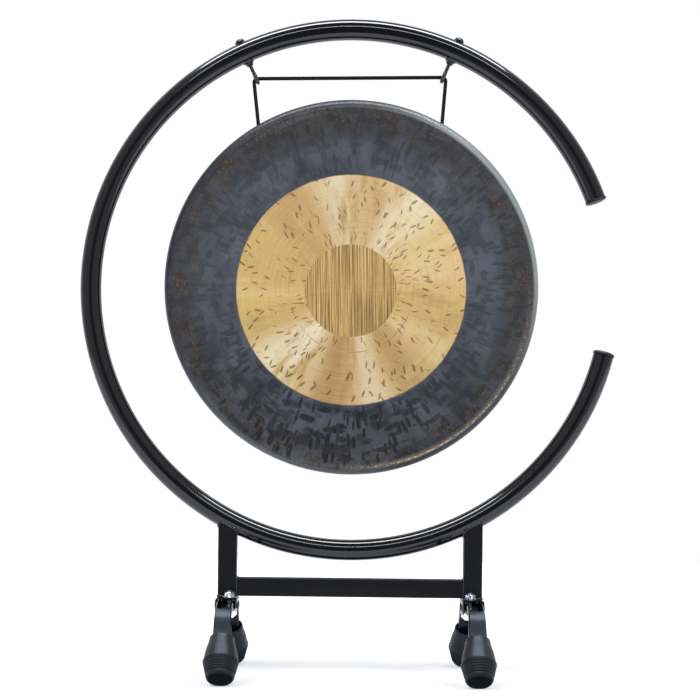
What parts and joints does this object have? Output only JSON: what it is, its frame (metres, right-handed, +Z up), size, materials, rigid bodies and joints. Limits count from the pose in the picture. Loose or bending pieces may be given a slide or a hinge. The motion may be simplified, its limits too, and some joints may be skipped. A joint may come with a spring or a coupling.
{
  "type": "gong stand",
  "caption": "Floor stand with an open tube hoop on posts, folding legs with rubber feet, and a rimmed bronze gong hung on a cord.",
  "frame": {"origin": "on the floor, straight below the centre of the hoop, in the hoop's plane", "axes": "+X to the right and +Y away as seen by someone who faces the gong, +Z up; the hoop lies in the XZ plane and opens towards +X"},
  "size_m": [0.7225, 0.3144, 0.8885],
  "materials": {
    "gloss_black": "glossy black enamel",
    "satin_black": "satin black enamel",
    "pressed_black": "satin black enamel on pressed sheet",
    "zinc": "bright zinc plate",
    "rubber": "matt dark blue-grey rubber",
    "cap_plastic": "matt black moulding",
    "cord": "laid black cord",
    "gong_bronze": "hammered bronze: dark patina outside, lathed bright band and brushed centre"
  },
  "bodies": {
    "frame": {"ring_tube": "gloss_black", "end_cap_upper": "cap_plastic", "end_cap_lower": "cap_plastic", "upright_left": "satin_black", "upright_right": "satin_black", "crossbar": "satin_black", "bracket_left": "pressed_black", "bracket_right": "pressed_black", "cord_span": "cord", "eye_bolt_left": "gloss_black", "saddle_nut_left": "gloss_black", "cap_nut_left": "gloss_black", "eye_bolt_right": "gloss_black", "saddle_nut_right": "gloss_black", "cap_nut_right": "gloss_black", "stop_screw_left_front": "zinc", "lock_nut_left_front": "zinc", "pivot_pin_left_front": "zinc", "stop_screw_left_rear": "zinc", "lock_nut_left_rear": "zinc", "pivot_pin_left_rear": "zinc", "stop_screw_right_front": "zinc", "lock_nut_right_front": "zinc", "pivot_pin_right_front": "zinc", "stop_screw_right_rear": "zinc", "lock_nut_right_rear": "zinc", "pivot_pin_right_rear": "zinc"},
    "hanger": {"cord_drop_left": "cord", "cord_drop_right": "cord", "knot_left": "cord", "knot_right": "cord"},
    "gong": {"gong": "gong_bronze"},
    "leg_left_front_body": {"leg_left_front": "pressed_black", "rubber_foot_left_front": "rubber"},
    "leg_left_rear_body": {"leg_left_rear": "pressed_black", "rubber_foot_left_rear": "rubber"},
    "leg_right_front_body": {"leg_right_front": "pressed_black", "rubber_foot_right_front": "rubber"},
    "leg_right_rear_body": {"leg_right_rear": "pressed_black", "rubber_foot_right_rear": "rubber"}
  },
  "joints": [
    {"name": "hanger_swing", "type": "hinge", "parent": "frame", "child": "hanger", "pos_m": [-0.00576, 0, 0.80936], "axis": [0.9998, 0, 0.0201], "range_deg": [-20, 20]},
    {"name": "gong_rock", "type": "hinge", "parent": "hanger", "child": "gong", "pos_m": [-0.00447, 0, 0.74536], "axis": [0.9998, 0, 0.0201], "range_deg": [-8, 8]},
    {"name": "leg_fold_left_front", "type": "hinge", "parent": "frame", "child": "leg_left_front_body", "pos_m": [-0.1629, -0.016, 0.0942], "axis": [1, 0, 0], "range_deg": [0, 52]},
    {"name": "leg_fold_left_rear", "type": "hinge", "parent": "frame", "child": "leg_left_rear_body", "pos_m": [-0.1629, 0.016, 0.0942], "axis": [-1, 0, 0], "range_deg": [0, 52]},
    {"name": "leg_fold_right_front", "type": "hinge", "parent": "frame", "child": "leg_right_front_body", "pos_m": [0.1679, -0.016, 0.0942], "axis": [1, 0, 0], "range_deg": [0, 52]},
    {"name": "leg_fold_right_rear", "type": "hinge", "parent": "frame", "child": "leg_right_rear_body", "pos_m": [0.1679, 0.016, 0.0942], "axis": [-1, 0, 0], "range_deg": [0, 52]}
  ]
}
